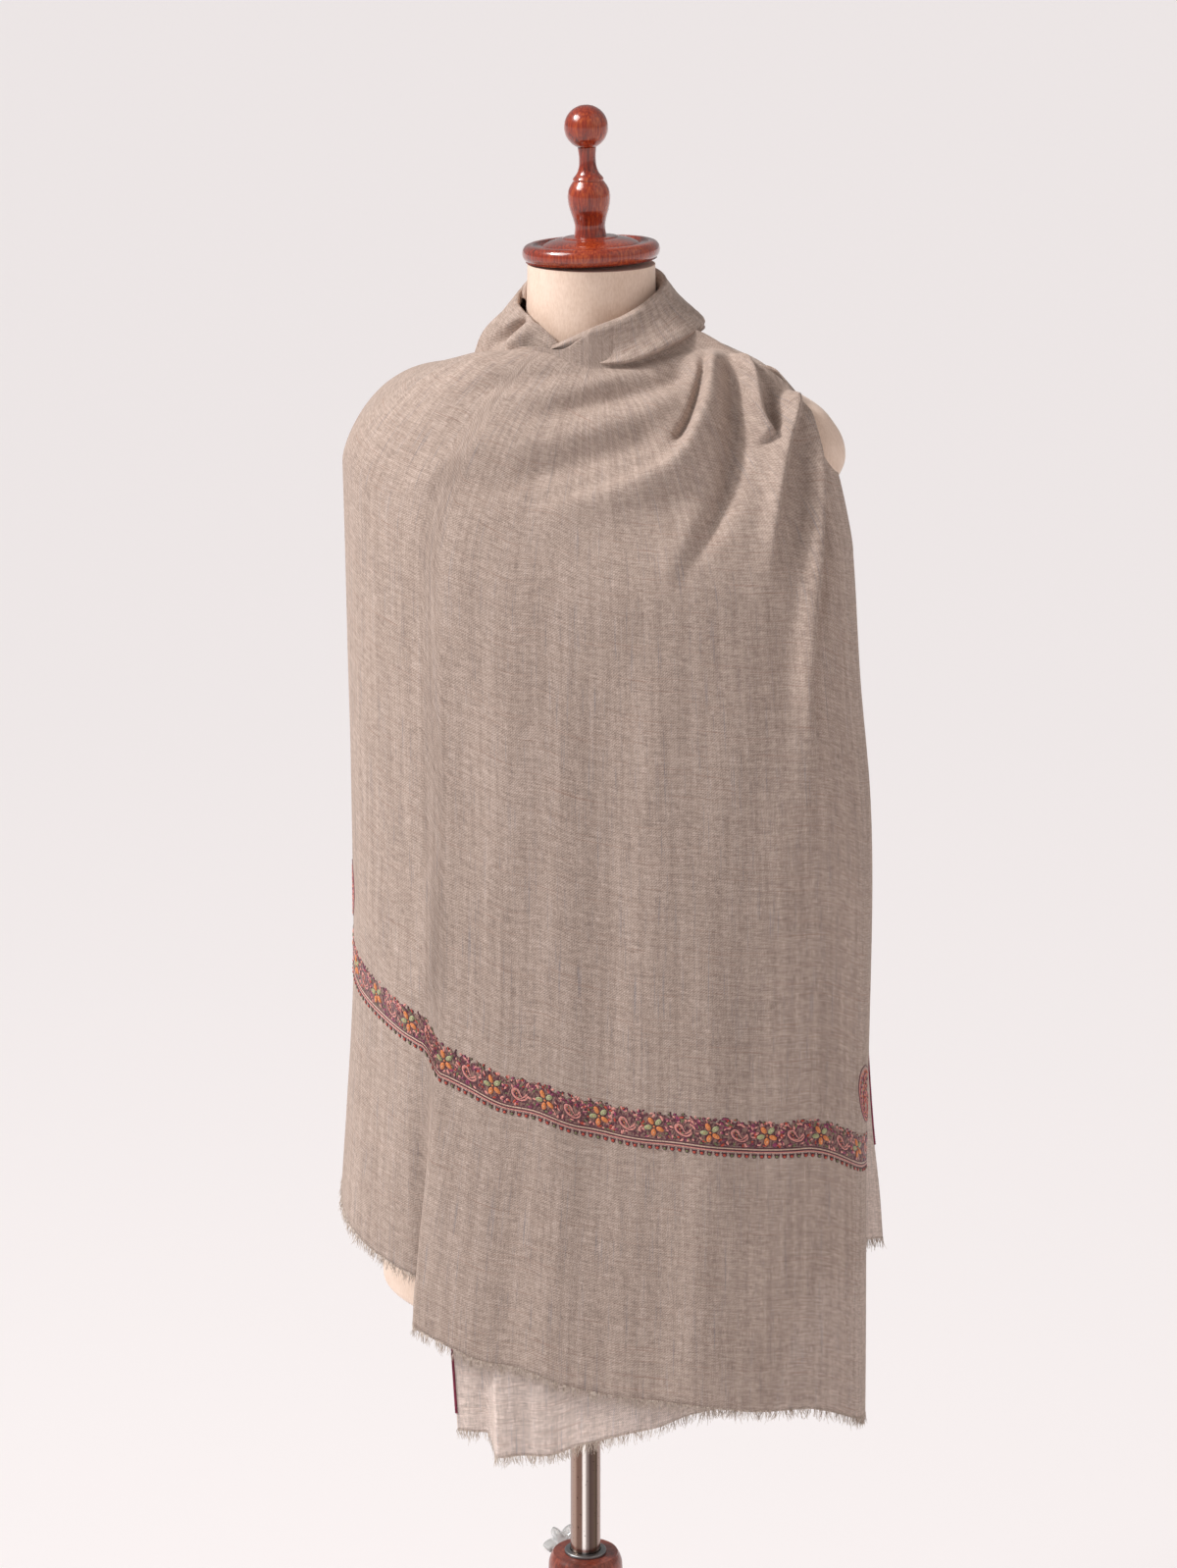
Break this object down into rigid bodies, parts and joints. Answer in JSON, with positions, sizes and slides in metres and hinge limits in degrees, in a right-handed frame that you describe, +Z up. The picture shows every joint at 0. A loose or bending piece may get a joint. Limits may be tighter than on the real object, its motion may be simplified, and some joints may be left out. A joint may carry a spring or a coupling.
{
  "type": "pashmina shawl on a limbless dress form with stand",
  "caption": "Embroidered pashmina shawl draped over a limbless dress form with turned neck cap, chrome pole and round wooden stand; height slides, form turns.",
  "frame": {"origin": "centre of the base's underside, on the pole's axis, where the stand rests", "axes": "+Z up along the pole, -Y the way the dress form faces, +X towards the form's own left"},
  "size_m": [0.4591, 0.34, 1.576],
  "materials": {
    "pashmina": "matte fine twill, natural taupe",
    "fringe": "raw yarn ends",
    "needlework": "silk needle embroidery",
    "edging": "crimson overcast thread",
    "jersey": "matte cream jersey cover",
    "cherry_wood": "glossy red-brown lacquer",
    "walnut": "satin dark red-brown",
    "chrome": "polished",
    "steel": "dull",
    "clear_plastic": "clear moulded plastic"
  },
  "bodies": {
    "stand": {"base": "walnut", "column": "walnut", "bushing": "steel"},
    "clamp": {"clamp_screw": "steel", "clamp_knob": "clear_plastic"},
    "mast": {"pole": "chrome"},
    "dressed_form": {"torso": "jersey", "neck_cap": "cherry_wood", "finial": "cherry_wood", "form_socket": "steel", "shawl_outer_front": "pashmina", "shawl_outer_side": "pashmina", "shawl_return": "pashmina", "shawl_inner_front": "pashmina", "shawl_collar": "pashmina", "shawl_neck_fold": "pashmina", "shawl_back": "pashmina", "fringe_outer_front": "fringe", "fringe_outer_side": "fringe", "fringe_return": "fringe", "fringe_inner_front": "fringe", "border_front": "needlework", "border_side": "needlework", "paisley_left": "needlework", "paisley_right": "needlework", "edging_outer_side": "edging", "edging_return": "edging", "edging_inner_front": "edging", "edging_back": "edging"}
  },
  "joints": [
    {"name": "pole_height", "type": "slide", "parent": "stand", "child": "mast", "axis": [0, 0, 1], "range_m": [-0.06, 0.16]},
    {"name": "form_swivel", "type": "hinge", "parent": "mast", "child": "dressed_form", "pos_m": [0, 0, 0.59], "axis": [0, 0, 1], "continuous": true},
    {"name": "clamp_turn", "type": "hinge", "parent": "stand", "child": "clamp", "pos_m": [0, 0, 0.356], "axis": [-0.7455, 0.6665, 0], "continuous": true}
  ]
}
